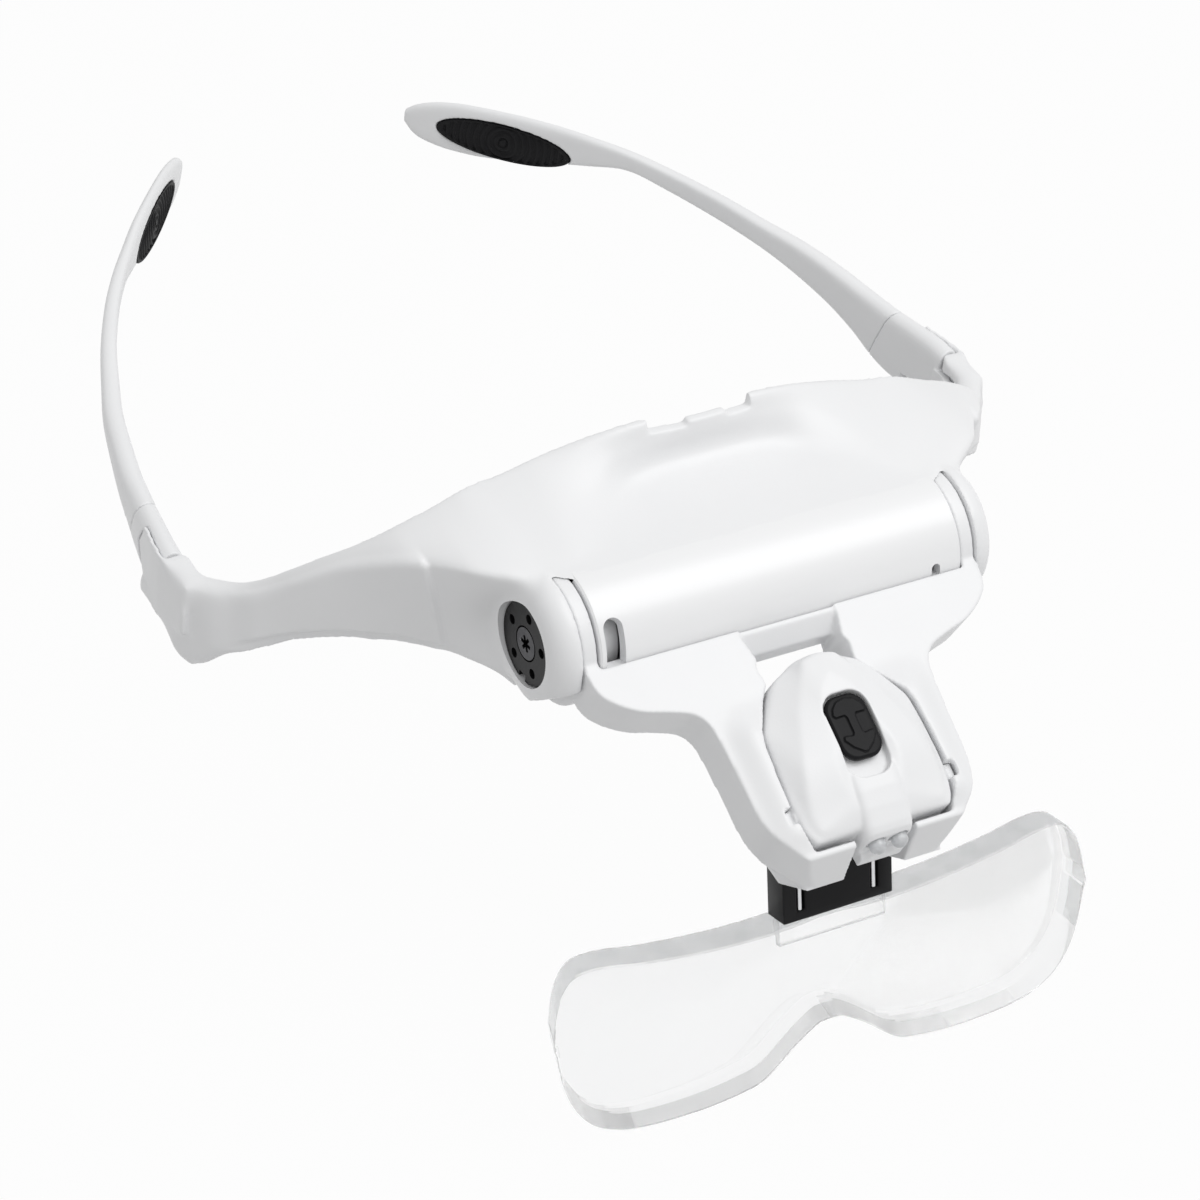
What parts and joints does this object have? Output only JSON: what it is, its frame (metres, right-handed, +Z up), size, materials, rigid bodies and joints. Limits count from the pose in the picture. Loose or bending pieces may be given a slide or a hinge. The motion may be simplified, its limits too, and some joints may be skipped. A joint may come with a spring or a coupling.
{
  "type": "headband magnifier",
  "caption": "Head-worn magnifier: a browed visor with folding temples carries a tilting yoke with a slide-in lens and a hinged, battery-powered lamp with a sliding switch.",
  "frame": {"origin": "middle of the drum, on the axis that the lens yoke tilts about", "axes": "+X to the picture's right (the wearer's left) along the tilt axis, +Y back to the temple tips, +Z up; the lens hangs in front at -Y"},
  "size_m": [0.1668, 0.2184, 0.1002],
  "materials": {
    "white_shell": "satin",
    "black_plastic": "satin",
    "dark_plastic": "matt",
    "black_rubber": "matt",
    "soft_grey": "matt",
    "steel": "satin",
    "dark_steel": "blackened",
    "brass": "satin",
    "board_green": "matt",
    "led_clear": "frosted",
    "acrylic_clear": "polished"
  },
  "bodies": {
    "visor": {"visor_shell": "white_shell", "rear_cover": "white_shell", "cover_screws": "steel", "nose_pad": "soft_grey", "hinge_pin_left": "steel", "hinge_pin_right": "steel", "pivot_disc_left": "black_plastic", "pivot_disc_right": "black_plastic", "pivot_washers": "steel", "pivot_screws": "dark_steel"},
    "yoke": {"lens_yoke": "white_shell"},
    "lamp": {"lamp_front_shell": "white_shell", "lamp_rear_shell": "white_shell", "lamp_shell_screws": "steel", "battery_door": "white_shell", "battery_door_screw": "steel", "button_cell_1": "steel", "button_cell_2": "steel", "button_cell_3": "steel", "cell_contact_positive": "brass", "cell_contact_negative": "brass", "led_board": "board_green", "led_left": "led_clear", "led_right": "led_clear", "switch_body": "dark_plastic"},
    "knob": {"switch_knob": "black_plastic"},
    "lens": {"lens_clip": "black_plastic", "clip_springs": "steel", "lens_plate": "acrylic_clear"},
    "temple_left": {"temple_connector_left": "white_shell"},
    "arm_left": {"temple_arm_left": "white_shell", "ear_pad_left": "black_rubber"},
    "temple_right": {"temple_connector_right": "white_shell"},
    "arm_right": {"temple_arm_right": "white_shell", "ear_pad_right": "black_rubber"}
  },
  "joints": [
    {"name": "yoke_tilt", "type": "hinge", "parent": "visor", "child": "yoke", "pos_m": [0, 0, 0], "axis": [-1, 0, 0], "range_deg": [-25, 70]},
    {"name": "lamp_tilt", "type": "hinge", "parent": "yoke", "child": "lamp", "pos_m": [0, -0.04249, -0.01555], "axis": [1, 0, 0], "range_deg": [0, 20]},
    {"name": "switch_slide", "type": "slide", "parent": "lamp", "child": "knob", "axis": [0, -0.8746, -0.4848], "range_m": [0, 0.0028]},
    {"name": "lens_pull", "type": "slide", "parent": "yoke", "child": "lens", "axis": [0, -0.2588, -0.9659], "range_m": [0, 0.016]},
    {"name": "temple_fold_left", "type": "hinge", "parent": "visor", "child": "temple_left", "pos_m": [-0.08, 0.052, 0], "axis": [0, 0, -1], "range_deg": [0, 78]},
    {"name": "temple_pull_left", "type": "slide", "parent": "temple_left", "child": "arm_left", "axis": [0.184, 0.9829, 0], "range_m": [0, 0.0075]},
    {"name": "temple_fold_right", "type": "hinge", "parent": "visor", "child": "temple_right", "pos_m": [0.08, 0.052, 0], "axis": [0, 0, 1], "range_deg": [0, 58]},
    {"name": "temple_pull_right", "type": "slide", "parent": "temple_right", "child": "arm_right", "axis": [-0.184, 0.9829, 0], "range_m": [0, 0.0075]}
  ]
}
